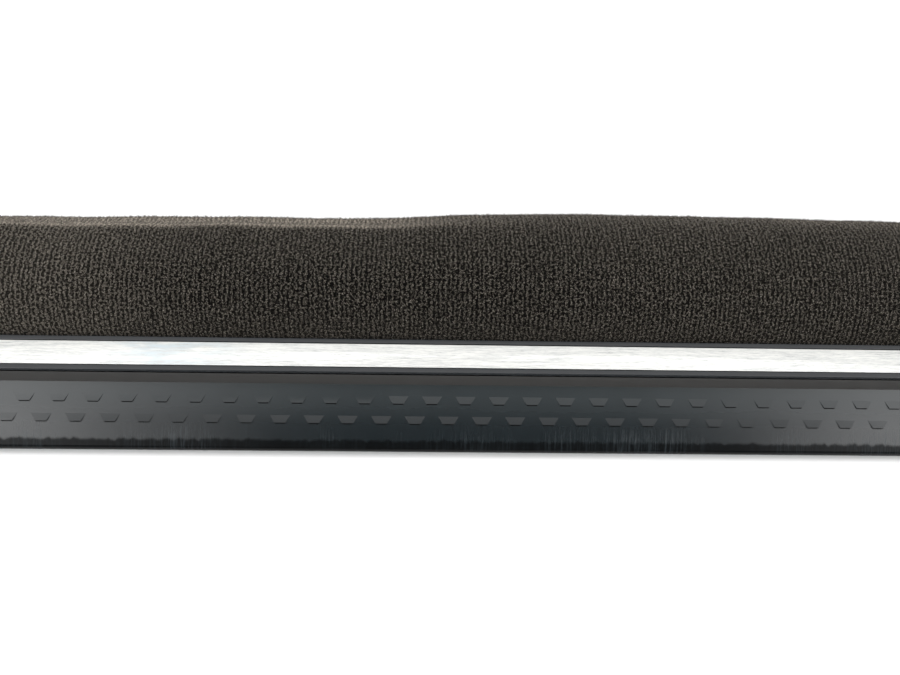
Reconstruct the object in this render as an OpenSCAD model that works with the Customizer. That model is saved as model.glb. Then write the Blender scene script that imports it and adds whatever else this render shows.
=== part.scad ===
// Carpeted running board: a moulded tread with a metal insert, and a carpeted bolster behind it.
// X runs along the board, Y from the front to the back, Z up. The origin is the middle of the
// footprint, on the surface that the board rests on. Outlines are drawn in section as [depth, height],
// with depth 0 at the front wall, which the rolled lip of the tread stands out from.

/* [Tread] */
// Cleats in the upper row, which sets the length of the tread
cleat_count = 45; // [25:2:65]
// Distance between neighbouring cleats of one row
cleat_pitch = 18; // [16:0.5:24]
// Height at which the tread's surface passes over the front wall
nose_height = 8.4; // [8:0.1:11]
// How far the rolled lip stands out from the front wall
nose_overhang = 1.9; // [1.5:0.1:2.5]
// Radius of the rolled lip
nose_radius = 3; // [2.5:0.1:4]
// Slope of the tread
tread_angle = 30; // [26:1:32]
// Depth of the tread from the front wall to the crease
tread_depth = 28.5; // [28:0.5:33]
// Height of the riser between the crease and the deck
riser_height = 10.6; // [9:0.2:12]
// Lean of the riser from upright
riser_draft = 6; // [2:1:8]
// Wall thickness of the moulding
wall = 2.5; // [2:0.1:3]
// Height of a cleat at its front edge
cleat_rise = 0.7; // [0.4:0.1:1]
// Cleat size along the slope
cleat_depth = 4; // [3:0.5:5]
// Width of a cleat at its front edge
cleat_front_width = 6; // [4:0.5:7]
// Width of a cleat at its back edge
cleat_back_width = 11; // [9:0.5:12]
// Draft of a cleat's front step
cleat_draft = 40; // [20:5:40]

/* [Metal insert] */
// Width of the brushed strip
strip_width = 13.8; // [12:0.2:15]
// Width of each lip of the rail
lip_width = 2.7; // [2:0.1:2.8]
// Height of the rail
rail_height = 2.5; // [2.2:0.1:3]

/* [Carpet bolster] */
// Half of the bolster's depth
bolster_half_depth = 39; // [36:0.5:44]
// Height of the crest over the widest point
bolster_crest = 32; // [26:0.5:36]
// Height of the widest point
bolster_axis_height = 32; // [31:0.5:36]
// Thickness of the carpet with its pile
carpet_thickness = 4; // [3:0.5:5]

/* [Base] */
// Thickness of the base plate
plate_thickness = 1.5; // [1.2:0.1:2]
// Thickness of the pads and the seal under the plate
pad_thickness = 3; // [3:0.5:5]
// Thread of the mounting bolts
mount_thread = 6; // [5:1:6]
// Distance between the front and the rear mounting bolts
mount_spacing = 74; // [70:1:78]

/* [Hidden] */
$fn = 48;
arc_steps = 48;

// Along the board
tread_length = cleat_count * cleat_pitch;
half_length = tread_length / 2;
rib_pitch = 5 * cleat_pitch;
ribs_each_side = floor(half_length / rib_pitch);
cap_thickness = 4;

// Nosing section
riser_slant = riser_height * tan(riser_draft);
slope_wall = wall / cos(tread_angle);
crease_z = nose_height + tread_depth * tan(tread_angle);
deck_z = crease_z + riser_height;
deck_front = tread_depth + riser_slant;
groove_height = 1.5;
groove_depth = 1;
rail_overhang = 0.5;
slot_gap = 0.4;
rail_front = deck_front - rail_overhang;
rail_width = strip_width + 2 * slot_gap + 2 * lip_width;
rail_top = deck_z + rail_height;
nosing_back = rail_front + rail_width + 0.4;
back_wall_foot = 14;
rib_thickness = 1.8;

// Cleat rows, measured down the slope from the crease
first_row_edge = 10.2;
row_spacing = 10.75;

// Rail layers
rail_floor = 1;
tape_thickness = 0.4;
strip_thickness = 0.9;
foot_height = 8.3;
foot_thickness = 2;
foot_length = 10;
foot_depth = rail_front + rail_width / 2;

// Bolster section
axis_depth = nosing_back + bolster_half_depth;
bolster_back = axis_depth + bolster_half_depth;
backing_thickness = 1;
layers = carpet_thickness + backing_thickness;
front_foot = 15;
rear_foot = 6;
hem_top = 14;
hem_thickness = 0.6;
hem_pinch = 1.8;
end_thickness = 4;
end_foot = 5;
wrap_half = half_length - 2;
seam_proud = 0.8;
seam_back = 4.5;
seam_front = 2.5;
seam_low = 15;
seam_start = rail_top + 0.7;
nut_pocket_top = 26;
rivet_room = 4.5;
overall_depth = nose_overhang + bolster_back + seam_proud;

// Base
plate_bottom = pad_thickness;
plate_top = plate_bottom + plate_thickness;
plate_front = 3;
plate_half = half_length - 3;
flange_face = bolster_back - layers - hem_thickness;
flange_back = flange_face - plate_thickness;
flange_top = 20;
plug_gap = 0.05;

// Fasteners
front_screw_depth = 14;
rear_screw_depth = foot_depth + 0.4;
boss_radius = 4;
screw_radius = 1.85;
screw_tip = 11.5;
washer_thickness = 0.6;
head_height = 1.7;
head_radius = 4;
cap_screw_radius = 1.35;
cap_screw_length = 16;
cap_head_radius = 3.4;
cap_head_height = 2.2;
cap_screw_high = [foot_depth + 2, deck_z - 12];
cap_screw_low = [16, nose_height + 1];
mount_x = (ribs_each_side - 0.5) * rib_pitch;
mount_front = 26;
mount_rear = mount_front + mount_spacing;
nut_radius = mount_thread / 2 + 1.5;
nut_flange_radius = mount_thread / 2 + 3.5;
nut_bore = mount_thread / 2 - 0.5;
nut_height = 11;
batten_thickness = 1.5;
batten_low = 16;
batten_high = 31;
batten_rivet_height = 23.5;
batten_rivet_radius = 1.6;
hem_rivet_height = 10;
hem_rivet_radius = 2;

moulded_black = "#1c1f22";
rail_black = "#24272a";
aluminium_white = "#d9dcdd";
steel_grey = "#9aa0a5";
carpet_brown = "#3b3733";
backing_black = "#2b2a29";
tape_white = "#e8e6df";
yellow_zinc = "#c9b27a";
binding_black = "#232120";
foam_grey = "#55585b";
rubber_black = "#17181a";

// ---- helpers ----

function arc(centre, radii, from, to) =
    [for (i = [0:arc_steps]) let (a = from + (to - from) * i / arc_steps)
        [centre[0] + radii[0] * cos(a), centre[1] + radii[1] * sin(a)]];

function reversed(list) = [for (i = [len(list) - 1:-1:0]) list[i]];

// Point on the tread's surface at a distance down the slope from the crease
function on_tread(down) = [tread_depth - down * cos(tread_angle), crease_z - down * sin(tread_angle)];

// Positions of the ribs, and of the places halfway between them
rib_places = [for (i = [-ribs_each_side:ribs_each_side]) i * rib_pitch];
screw_places = [for (i = [-ribs_each_side:2:ribs_each_side]) i * rib_pitch];
clip_places = [for (i = [-ribs_each_side:ribs_each_side - 1]) (i + 0.5) * rib_pitch];

// Moves a shape from the section's zero to the board's own origin
module placed() {
    translate([0, nose_overhang - overall_depth / 2, 0]) children();
}

// Extrudes a section along the board, centred on x
module along(length, x = 0) {
    translate([x - length / 2, 0, 0]) rotate([90, 0, 90]) linear_extrude(length) children();
}

// Upright cylinder at a depth and a distance along the board
module upright(x, depth, low, high, r) {
    translate([x, depth, low]) cylinder(r = r, h = high - low);
}

// Cylinder that runs from front to back
module crosswise(x, height, from, to, r) {
    translate([x, from, height]) rotate([-90, 0, 0]) cylinder(r = r, h = to - from);
}

// Cylinder along the board, from x0 to x1
module lengthwise(x0, x1, place, r) {
    translate([x0, place[0], place[1]]) rotate([0, 90, 0]) cylinder(r = r, h = x1 - x0);
}

// ---- nosing ----

nose_turn = 90 - tread_angle;
lip_middle = nose_height - nose_overhang * tan(tread_angle) - nose_radius * tan(nose_turn / 2);
lip_edge = 0.9;
nose_arc = arc([nose_radius - nose_overhang, lip_middle], [nose_radius, nose_radius], 180, 180 - nose_turn);
front_outline = concat([[0, 0], [0, lip_middle - lip_edge], [lip_edge - nose_overhang, lip_middle - lip_edge]],
    nose_arc);
groove_z = deck_z - groove_height;
groove_front = deck_front - groove_height * tan(riser_draft);
nosing_skin = concat(front_outline,
    [[tread_depth, crease_z], [groove_front, groove_z], [deck_front + groove_depth, groove_z],
     [deck_front + groove_depth, deck_z], [nosing_back, deck_z]]);
inner_crease_z = crease_z + wall * tan(tread_angle) - slope_wall;
cavity_top = deck_z - wall;
cavity = [
    [wall, nose_height + wall * tan(tread_angle) - slope_wall],
    [tread_depth + wall, inner_crease_z],
    [deck_front + wall, cavity_top],
    [nosing_back - wall, cavity_top]
];
nosing_section = concat(nosing_skin,
    [[nosing_back, back_wall_foot], [nosing_back - wall, back_wall_foot]],
    reversed(cavity), [[wall, 0]]);
rib_section = concat([[wall, plate_top]], cavity,
    [[nosing_back - wall, back_wall_foot], [nosing_back - wall - 3, plate_top]]);

// One row of wedge cleats that rise toward the front edge and end there in a drafted step
module cleat_row(count, down) {
    edge = on_tread(down);
    sink = wall / 2;
    spread = (cleat_rise + sink) * tan(cleat_draft);
    flare = (cleat_back_width - cleat_front_width) / 2 * spread / cleat_depth;
    front = cleat_front_width / 2 - flare;
    back = cleat_back_width / 2;
    translate([0, edge[0], edge[1]]) rotate([tread_angle, 0, 0]) intersection() {
        for (i = [0:count - 1]) {
            translate([(i - (count - 1) / 2) * cleat_pitch, 0, -sink])
                linear_extrude(sink + cleat_rise) polygon([
                    [-front, -spread], [front, -spread], [back, cleat_depth], [-back, cleat_depth]]);
        }
        along(tread_length) polygon([
            [-spread, -sink], [0, cleat_rise], [cleat_depth, 0.02], [cleat_depth, -sink]]);
    }
}

// Posts that take the screws from below, and the ones that take the end cap screws
module nosing_bosses() {
    for (x = screw_places) {
        upright(x, front_screw_depth, plate_top, nose_height + 5.4, boss_radius - 0.4);
        upright(x, rear_screw_depth, plate_top, cavity_top, boss_radius);
    }
    for (side = [-1, 1]) {
        inner = side * (half_length - cap_screw_length - 2);
        for (place = [cap_screw_high, cap_screw_low]) {
            radius = place == cap_screw_high ? boss_radius : boss_radius - 0.5;
            reach = place == cap_screw_high ? cavity_top - place[1] + 0.5 : 6;
            lengthwise(min(inner, side * half_length), max(inner, side * half_length), place, radius);
            translate([(inner + side * half_length) / 2 - cap_screw_length / 2 - 1, place[0] - 1, place[1]])
                cube([cap_screw_length + 2, 2, reach]);
        }
    }
}

module nosing_holes() {
    for (x = screw_places, depth = [front_screw_depth, rear_screw_depth]) {
        upright(x, depth, plate_top - 1, screw_tip + 1, screw_radius + plug_gap);
    }
    for (place = [cap_screw_high, cap_screw_low]) {
        lengthwise(-half_length - 1, -half_length + cap_screw_length - 1, place, cap_screw_radius + plug_gap);
        lengthwise(half_length - cap_screw_length + 1, half_length + 1, place, cap_screw_radius + plug_gap);
    }
    for (x = clip_places) {
        translate([x - foot_length / 2 - 0.5, foot_depth - foot_thickness / 2 - 0.3, cavity_top - 1])
            cube([foot_length + 1, foot_thickness + 0.6, wall + 2]);
        crosswise(x, batten_rivet_height, nosing_back - wall - 1, nosing_back + 1, batten_rivet_radius + plug_gap);
    }
}

module tread_nosing() {
    color(moulded_black) placed() difference() {
        union() {
            along(tread_length) polygon(nosing_section);
            for (x = rib_places) along(rib_thickness, x) polygon(rib_section);
            nosing_bosses();
            cleat_row(cleat_count, first_row_edge);
            cleat_row(cleat_count - 1, first_row_edge + row_spacing);
        }
        nosing_holes();
    }
}

// Cap plate with two tongues that locate it inside the moulding
module end_cap(side) {
    outline = concat(front_outline, [[tread_depth, crease_z], [groove_front, groove_z],
        [rail_front, deck_z], [rail_front, rail_top], [nosing_back - 0.2, rail_top], [nosing_back - 0.2, 0]]);
    middle = half_length + cap_thickness / 2;
    color(moulded_black) placed() mirror([side < 0 ? 1 : 0, 0, 0]) difference() {
        union() {
            along(cap_thickness, middle) polygon(outline);
            translate([half_length - 8, deck_front + wall + 1.6, cavity_top - 4.6]) cube([9, 4, 4.2]);
            translate([half_length - 8, wall + 1.5, plate_top + 0.5]) cube([9, 5, 2.4]);
        }
        for (place = [cap_screw_high, cap_screw_low]) {
            lengthwise(half_length - 1, half_length + cap_thickness + 1, place, cap_screw_radius + 0.15);
            lengthwise(half_length + cap_thickness - cap_head_height, half_length + cap_thickness + 1,
                place, cap_head_radius + 0.2);
        }
    }
}

module end_cap_screws() {
    head = half_length + cap_thickness;
    seat = head - cap_head_height;
    color(steel_grey) placed() for (side = [0, 1], place = [cap_screw_high, cap_screw_low]) {
        mirror([side, 0, 0]) difference() {
            union() {
                lengthwise(seat - cap_screw_length, seat + 0.5, place, cap_screw_radius);
                lengthwise(seat, head, place, cap_head_radius);
            }
            for (turn = [0, 90]) {
                translate([head, place[0], place[1]]) rotate([turn, 0, 0]) cube([2, 3.6, 0.9], center = true);
            }
        }
    }
}

// ---- metal insert ----

module insert_rail() {
    lip_inner = rail_front + lip_width;
    section = [
        [rail_front, deck_z], [rail_front, rail_top], [lip_inner, rail_top],
        [lip_inner, deck_z + rail_floor], [rail_front + rail_width - lip_width, deck_z + rail_floor],
        [rail_front + rail_width - lip_width, rail_top], [rail_front + rail_width, rail_top],
        [rail_front + rail_width, deck_z]];
    color(rail_black) placed() union() {
        along(tread_length) polygon(section);
        for (x = clip_places) {
            translate([x - foot_length / 2, foot_depth - foot_thickness / 2, deck_z - foot_height])
                cube([foot_length, foot_thickness, foot_height + rail_floor / 2]);
        }
    }
}

module strip_tape() {
    color(tape_white) placed()
        translate([-half_length + 2, foot_depth - strip_width / 2 + 1, deck_z + rail_floor])
            cube([tread_length - 4, strip_width - 2, tape_thickness]);
}

module metal_strip() {
    color(aluminium_white) placed()
        translate([-half_length, foot_depth - strip_width / 2, deck_z + rail_floor + tape_thickness])
            cube([tread_length, strip_width, strip_thickness]);
}

// Sheet steel clip pushed on each foot of the rail, with two wings against the underside of the deck
module rail_clips() {
    leg = foot_thickness / 2 + 0.2;
    skin = 0.5;
    bottom = deck_z - foot_height - 0.6;
    bend = cavity_top - 2.6;
    right = [
        [leg + skin, bottom], [leg + skin, bend], [leg + 3.1, cavity_top], [leg + 2.4, cavity_top],
        [leg, bend + 0.3], [leg, bottom + skin]];
    left = reversed([for (p = right) [-p[0], p[1]]]);
    color(steel_grey) placed() for (x = clip_places) {
        translate([0, foot_depth, 0]) along(foot_length - 2, x) polygon(concat(right, left));
    }
}

// ---- base ----

module base_plate() {
    section = [
        [plate_front, plate_bottom], [flange_face, plate_bottom], [flange_face, flange_top],
        [flange_back, flange_top], [flange_back, plate_top], [plate_front, plate_top]];
    color(steel_grey) placed() difference() {
        along(2 * plate_half) polygon(section);
        for (x = screw_places, depth = [front_screw_depth, rear_screw_depth]) {
            upright(x, depth, plate_bottom - 1, plate_top + 1, screw_radius + 0.3);
        }
        for (x = [-mount_x, mount_x], depth = [mount_front, mount_rear]) {
            upright(x, depth, plate_bottom - 1, plate_top + 1, nut_radius + plug_gap);
        }
        for (x = rib_places) {
            crosswise(x, hem_rivet_height, flange_back - 1, flange_face + 1, hem_rivet_radius + plug_gap);
        }
    }
}

// Pan head screws with a cross recess, driven from below
module base_screws() {
    head_top = plate_bottom - washer_thickness;
    color(steel_grey) placed() for (x = screw_places, depth = [front_screw_depth, rear_screw_depth]) {
        difference() {
            union() {
                upright(x, depth, head_top - 0.5, screw_tip, screw_radius);
                upright(x, depth, head_top - head_height, head_top, head_radius);
            }
            for (turn = [0, 90]) {
                translate([x, depth, head_top - head_height]) rotate([0, 0, turn]) cube([4, 1, 2], center = true);
            }
        }
    }
}

module base_washers() {
    color(steel_grey) placed() for (x = screw_places, depth = [front_screw_depth, rear_screw_depth]) {
        difference() {
            upright(x, depth, plate_bottom - washer_thickness, plate_bottom, head_radius + 0.8);
            upright(x, depth, plate_bottom - 2, plate_bottom + 1, screw_radius + 0.25);
        }
    }
}

// Blind rivet nuts that take the vehicle's bolts from below
module rivet_nuts() {
    flange_height = 1;
    color(yellow_zinc) placed() for (x = [-mount_x, mount_x], depth = [mount_front, mount_rear]) {
        difference() {
            union() {
                upright(x, depth, plate_bottom - flange_height, plate_bottom, nut_flange_radius);
                upright(x, depth, plate_bottom - 0.5, plate_bottom + nut_height, nut_radius);
                upright(x, depth, plate_top, plate_top + 3, nut_radius + 1.2);
            }
            upright(x, depth, plate_bottom - 2, plate_bottom + nut_height + 1, nut_bore);
        }
    }
}

module front_seal() {
    color(foam_grey) placed()
        translate([-half_length + 5, plate_front, 0]) cube([tread_length - 10, 6, pad_thickness]);
}

// Rounded rubber pads under the back of the plate
module rest_pads() {
    pad_length = 40;
    pad_depth = 20;
    round_end = pad_depth / 2;
    color(rubber_black) placed() for (x = screw_places) {
        translate([x, mount_rear + 2, 0]) union() {
            translate([-pad_length / 2 + round_end, -round_end, 0])
                cube([pad_length - pad_depth, pad_depth, pad_thickness]);
            for (side = [-1, 1]) {
                translate([side * (pad_length / 2 - round_end), 0, 0]) cylinder(r = round_end, h = pad_thickness);
            }
        }
    }
}

// ---- carpet bolster ----

// Arch of the bolster, moved outward by a distance (inward if negative)
function arch(grow) = arc([axis_depth, bolster_axis_height],
    [bolster_half_depth + grow, bolster_crest + grow], 180, 0);

// Wrapped layer between two arches
module wrap(outer_grow, inner_grow, pinch) {
    outer = concat([[nosing_back - outer_grow, front_foot]], arch(outer_grow),
        [[bolster_back + outer_grow - pinch, hem_top], [bolster_back + outer_grow - pinch, rear_foot]]);
    inner = concat([[nosing_back - inner_grow, front_foot]], arch(inner_grow),
        [[bolster_back + inner_grow, rear_foot]]);
    along(2 * wrap_half) polygon(concat(outer, reversed(inner)));
}

module batten_rivet_holes(from, to) {
    for (x = clip_places) crosswise(x, batten_rivet_height, from, to, batten_rivet_radius + plug_gap);
}

module hem_rivet_holes(from, to) {
    for (x = rib_places) crosswise(x, hem_rivet_height, from, to, hem_rivet_radius + plug_gap);
}

module carpet() {
    color(carpet_brown) placed() difference() {
        wrap(0, -carpet_thickness, hem_pinch);
        batten_rivet_holes(nosing_back - 1, nosing_back + layers);
        hem_rivet_holes(bolster_back - layers - 1, bolster_back + 1);
    }
}

module carpet_backing() {
    color(backing_black) placed() difference() {
        wrap(-carpet_thickness, -layers, 0);
        batten_rivet_holes(nosing_back, nosing_back + layers + 1);
        hem_rivet_holes(bolster_back - layers - 1, bolster_back + 1);
    }
}

// Carpet panel that closes an end of the bolster
module carpet_end(side) {
    clear = 0.05;
    outline = concat([[nosing_back + clear, end_foot]], arch(0),
        [[bolster_back - hem_pinch, hem_top], [bolster_back - hem_pinch, end_foot]]);
    color(carpet_brown) placed() mirror([side < 0 ? 1 : 0, 0, 0])
        along(end_thickness, wrap_half + end_thickness / 2) polygon(outline);
}

// Overlocked seam over the corner between the wrap and an end panel
module seam_binding(side) {
    length = seam_back + seam_front;
    start = 180 - asin((seam_start - bolster_axis_height) / bolster_crest);
    outer = arc([axis_depth, bolster_axis_height],
        [bolster_half_depth + seam_proud, bolster_crest + seam_proud], start, 0);
    inner = arc([axis_depth, bolster_axis_height], [bolster_half_depth, bolster_crest], start, 0);
    drop = (bolster_axis_height - seam_low) / (bolster_axis_height - hem_top) * hem_pinch;
    tail = [[bolster_back + seam_proud - drop, seam_low], [bolster_back - drop, seam_low]];
    color(binding_black) placed() mirror([side < 0 ? 1 : 0, 0, 0])
        along(length, wrap_half - seam_front + length / 2) polygon(concat(outer, tail, reversed(inner)));
}

// Folded tape over the lower back edge of the carpet
module rear_hem() {
    outside = bolster_back - hem_pinch;
    inside = bolster_back - layers;
    section = [
        [inside - hem_thickness, rear_foot - hem_thickness], [outside + hem_thickness, rear_foot - hem_thickness],
        [outside + hem_thickness, hem_top], [outside, hem_top], [outside, rear_foot], [inside, rear_foot],
        [inside, hem_top], [inside - hem_thickness, hem_top]];
    color(binding_black) placed() difference() {
        along(2 * wrap_half) polygon(section);
        hem_rivet_holes(inside - 2, outside + 2);
    }
}

// Push rivets with a wide head outside and a collar behind the plate's flange
module hem_rivets() {
    face = bolster_back - hem_pinch + hem_thickness;
    color(rubber_black) placed() for (x = rib_places) {
        crosswise(x, hem_rivet_height, flange_back - 3.5, face + 0.5, hem_rivet_radius);
        crosswise(x, hem_rivet_height, face, face + 1.2, 4.5);
        crosswise(x, hem_rivet_height, flange_back - 1.5, flange_back, hem_rivet_radius + 1);
    }
}

// Core with a notch for the batten, one for the rear flange and pockets for the rivet nuts
module foam_core() {
    back = bolster_back - layers;
    notch = layers + 4;
    outline = concat([[nosing_back + notch, plate_top], [nosing_back + notch, bolster_axis_height]],
        arch(-layers),
        [[back, flange_top + 2], [flange_back - rivet_room, flange_top + 2],
         [flange_back - rivet_room, plate_top]]);
    color(foam_grey) placed() difference() {
        along(2 * wrap_half) polygon(outline);
        for (x = [-mount_x, mount_x]) upright(x, mount_rear, plate_top - 1, nut_pocket_top, nut_flange_radius + 1.5);
    }
}

module clamp_batten() {
    face = nosing_back + layers;
    color(steel_grey) placed() difference() {
        translate([-half_length + 12, face, batten_low])
            cube([tread_length - 24, batten_thickness, batten_high - batten_low]);
        batten_rivet_holes(face - 1, face + 3);
    }
}

module batten_rivets() {
    inside = nosing_back - wall;
    face = nosing_back + layers + batten_thickness;
    color(steel_grey) placed() for (x = clip_places) {
        crosswise(x, batten_rivet_height, inside - 0.5, face + 0.5, batten_rivet_radius);
        crosswise(x, batten_rivet_height, inside - 1.2, inside, 3.2);
        crosswise(x, batten_rivet_height, face, face + 1.2, 2.8);
    }
}

tread_nosing();
insert_rail();
metal_strip();
strip_tape();
rail_clips();
end_cap(-1);  // end_cap_left
end_cap(1);  // end_cap_right
end_cap_screws();
base_plate();
base_screws();
base_washers();
rivet_nuts();
front_seal();
rest_pads();
carpet();
carpet_backing();
carpet_end(-1);  // carpet_end_left
carpet_end(1);  // carpet_end_right
seam_binding(-1);  // seam_binding_left
seam_binding(1);  // seam_binding_right
rear_hem();
hem_rivets();
foam_core();
clamp_batten();
batten_rivets();
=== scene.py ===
"""Looks for the carpeted running board: a moulded tread, a brushed insert and a carpeted bolster.

X runs along the board, Y from the front to the back, Z up, all in metres. Sections are worked out in
millimetres as depth and height, with depth 0 where the nosing stands on the floor, behind the overhang
of its lip, and are turned into metres where a mesh is made.
"""

import math

import bmesh
import bpy
import numpy as np
from mathutils import Matrix, Vector


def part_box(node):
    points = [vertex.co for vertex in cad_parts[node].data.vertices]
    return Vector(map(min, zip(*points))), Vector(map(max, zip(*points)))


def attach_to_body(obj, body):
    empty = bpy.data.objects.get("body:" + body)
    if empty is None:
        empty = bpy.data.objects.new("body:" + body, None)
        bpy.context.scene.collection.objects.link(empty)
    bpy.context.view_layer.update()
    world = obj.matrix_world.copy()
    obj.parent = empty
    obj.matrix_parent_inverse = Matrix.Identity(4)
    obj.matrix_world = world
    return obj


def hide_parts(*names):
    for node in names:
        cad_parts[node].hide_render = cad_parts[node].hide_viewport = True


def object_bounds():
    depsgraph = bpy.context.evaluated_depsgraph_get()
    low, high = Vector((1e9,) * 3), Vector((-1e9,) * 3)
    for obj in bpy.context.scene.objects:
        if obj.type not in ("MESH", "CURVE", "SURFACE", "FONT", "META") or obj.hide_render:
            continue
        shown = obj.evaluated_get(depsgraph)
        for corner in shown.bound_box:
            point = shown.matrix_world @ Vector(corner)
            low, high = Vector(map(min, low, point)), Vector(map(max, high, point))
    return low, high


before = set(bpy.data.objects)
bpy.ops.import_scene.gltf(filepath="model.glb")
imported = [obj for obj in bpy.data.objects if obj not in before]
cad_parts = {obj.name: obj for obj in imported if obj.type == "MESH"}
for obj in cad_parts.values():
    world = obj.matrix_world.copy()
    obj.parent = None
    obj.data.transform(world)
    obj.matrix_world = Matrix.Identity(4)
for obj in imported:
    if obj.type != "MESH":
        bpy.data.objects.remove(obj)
CAD_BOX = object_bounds()

MM = 0.001
RANDOM = np.random.default_rng(7)

# ---- sizes that come from the frame ----

FLOOR_Z = CAD_BOX[0].z
NOSE_OVERHANG = 1.9
FRONT_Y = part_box("tread_nosing")[0].y + NOSE_OVERHANG * MM
WRAP_LOW, WRAP_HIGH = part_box("carpet")
HEM_LOW, HEM_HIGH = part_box("rear_hem")
RAIL_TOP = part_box("insert_rail")[1].z / MM

# ---- sizes that follow the design, in millimetres ----

TREAD_ANGLE = 30.0
TREAD_DEPTH = 28.5
NOSE_HEIGHT = 8.4
CREASE_HEIGHT = NOSE_HEIGHT + TREAD_DEPTH * math.tan(math.radians(TREAD_ANGLE))
DECK_HEIGHT = CREASE_HEIGHT + 10.6
GROOVE_HEIGHT = DECK_HEIGHT - 1.5
CARPET_THICKNESS = 4.0
WRAP_FRONT = (WRAP_LOW.y - FRONT_Y) / MM
WRAP_BACK = (WRAP_HIGH.y - FRONT_Y) / MM
WRAP_HALF = WRAP_HIGH.x / MM
ARCH_HALF_DEPTH = (WRAP_BACK - WRAP_FRONT) / 2
ARCH_DEPTH = (WRAP_FRONT + WRAP_BACK) / 2
ARCH_HEIGHT = 32.0
ARCH_RISE = WRAP_HIGH.z / MM - ARCH_HEIGHT
FRONT_FOOT = 15.0
REAR_FOOT = 6.0
HEM_TOP = 14.0
HEM_PINCH = 1.8
LOWEST_FOLD = -2.6
HEM_STITCH_HEIGHT = 12.3
END_THICKNESS = 4.0
END_FOOT = 5.0
END_CENTRE = 27.0
SEAM_LOW = 15.0
RIB_PITCH = 2.54

# ---- loose fibres, sizes in millimetres ----

WRAP_FIBRES = 36000
END_FIBRES = 3000
FIBRE_LEAN = 0.5
FIBRE_LENGTH = (1.0, 2.0)
FIBRE_RADIUS = 0.13


# ---- nodes ----


class Shader:
    """A node material written as short chained calls."""

    def __init__(self, name):
        self.material = bpy.data.materials.new(name)
        self.material.use_nodes = True
        self.tree = self.material.node_tree
        self.principled = self.tree.nodes["Principled BSDF"]

    def node(self, kind, **settings):
        made = self.tree.nodes.new(kind)
        for key, value in settings.items():
            setattr(made, key, value)
        return made

    def put(self, value, socket):
        """Links a socket, or sets a plain value."""
        if isinstance(value, bpy.types.NodeSocket):
            self.tree.links.new(value, socket)
        elif isinstance(value, (tuple, list)) and len(value) == 3 and socket.type == "RGBA":
            socket.default_value = (*value, 1.0)
        else:
            socket.default_value = value

    def set(self, **values):
        """Sets inputs of the Principled shader, with spaces written as underscores."""
        for key, value in values.items():
            self.put(value, self.principled.inputs[key.replace("_", " ")])
        return self

    def position(self, scale=(1, 1, 1)):
        """Object position in metres, scaled."""
        coordinates = self.node("ShaderNodeTexCoord")
        mapping = self.node("ShaderNodeMapping")
        self.put(coordinates.outputs["Object"], mapping.inputs["Vector"])
        mapping.inputs["Scale"].default_value = scale
        return mapping.outputs["Vector"]

    def attribute(self, name, scale=(1, 1, 1)):
        """A vector stored on the mesh, scaled."""
        stored = self.node("ShaderNodeAttribute", attribute_name=name)
        mapping = self.node("ShaderNodeMapping")
        self.put(stored.outputs["Vector"], mapping.inputs["Vector"])
        mapping.inputs["Scale"].default_value = scale
        return mapping.outputs["Vector"]

    def noise(self, vector, scale=1.0, detail=2.0, roughness=0.5, distortion=0.0):
        made = self.node("ShaderNodeTexNoise")
        self.put(vector, made.inputs["Vector"])
        made.inputs["Scale"].default_value = scale
        made.inputs["Detail"].default_value = detail
        made.inputs["Roughness"].default_value = roughness
        made.inputs["Distortion"].default_value = distortion
        return made.outputs["Fac"]

    def cells(self, vector, scale):
        """Distance to the middle of the nearest of many small cells."""
        made = self.node("ShaderNodeTexVoronoi")
        self.put(vector, made.inputs["Vector"])
        made.inputs["Scale"].default_value = scale
        return made.outputs["Distance"]

    def separate(self, vector):
        made = self.node("ShaderNodeSeparateXYZ")
        self.put(vector, made.inputs["Vector"])
        return made.outputs

    def combine(self, x, y, z):
        made = self.node("ShaderNodeCombineXYZ")
        for value, socket in zip((x, y, z), made.inputs, strict=True):
            self.put(value, socket)
        return made.outputs["Vector"]

    def math(self, operation, a, b=0.0):
        made = self.node("ShaderNodeMath", operation=operation)
        self.put(a, made.inputs[0])
        self.put(b, made.inputs[1])
        return made.outputs[0]

    def ramp(self, value, low, high, from_value=0.0, to_value=1.0):
        """Smooth step of value between low and high."""
        made = self.node("ShaderNodeMapRange", interpolation_type="SMOOTHSTEP")
        self.put(value, made.inputs["Value"])
        made.inputs["From Min"].default_value = low
        made.inputs["From Max"].default_value = high
        made.inputs["To Min"].default_value = from_value
        made.inputs["To Max"].default_value = to_value
        return made.outputs["Result"]

    def mix(self, factor, a, b):
        """Colour between a and b."""
        made = self.node("ShaderNodeMix", data_type="RGBA")
        self.put(factor, made.inputs["Factor"])
        colour_a, colour_b = [socket for socket in made.inputs if socket.type == "RGBA"]
        self.put(a, colour_a)
        self.put(b, colour_b)
        return next(socket for socket in made.outputs if socket.type == "RGBA")

    def bump(self, height, strength=1.0, distance=0.0002):
        made = self.node("ShaderNodeBump")
        made.inputs["Strength"].default_value = strength
        made.inputs["Distance"].default_value = distance
        self.put(height, made.inputs["Height"])
        self.put(made.outputs["Normal"], self.principled.inputs["Normal"])
        return self


# ---- materials ----


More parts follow.
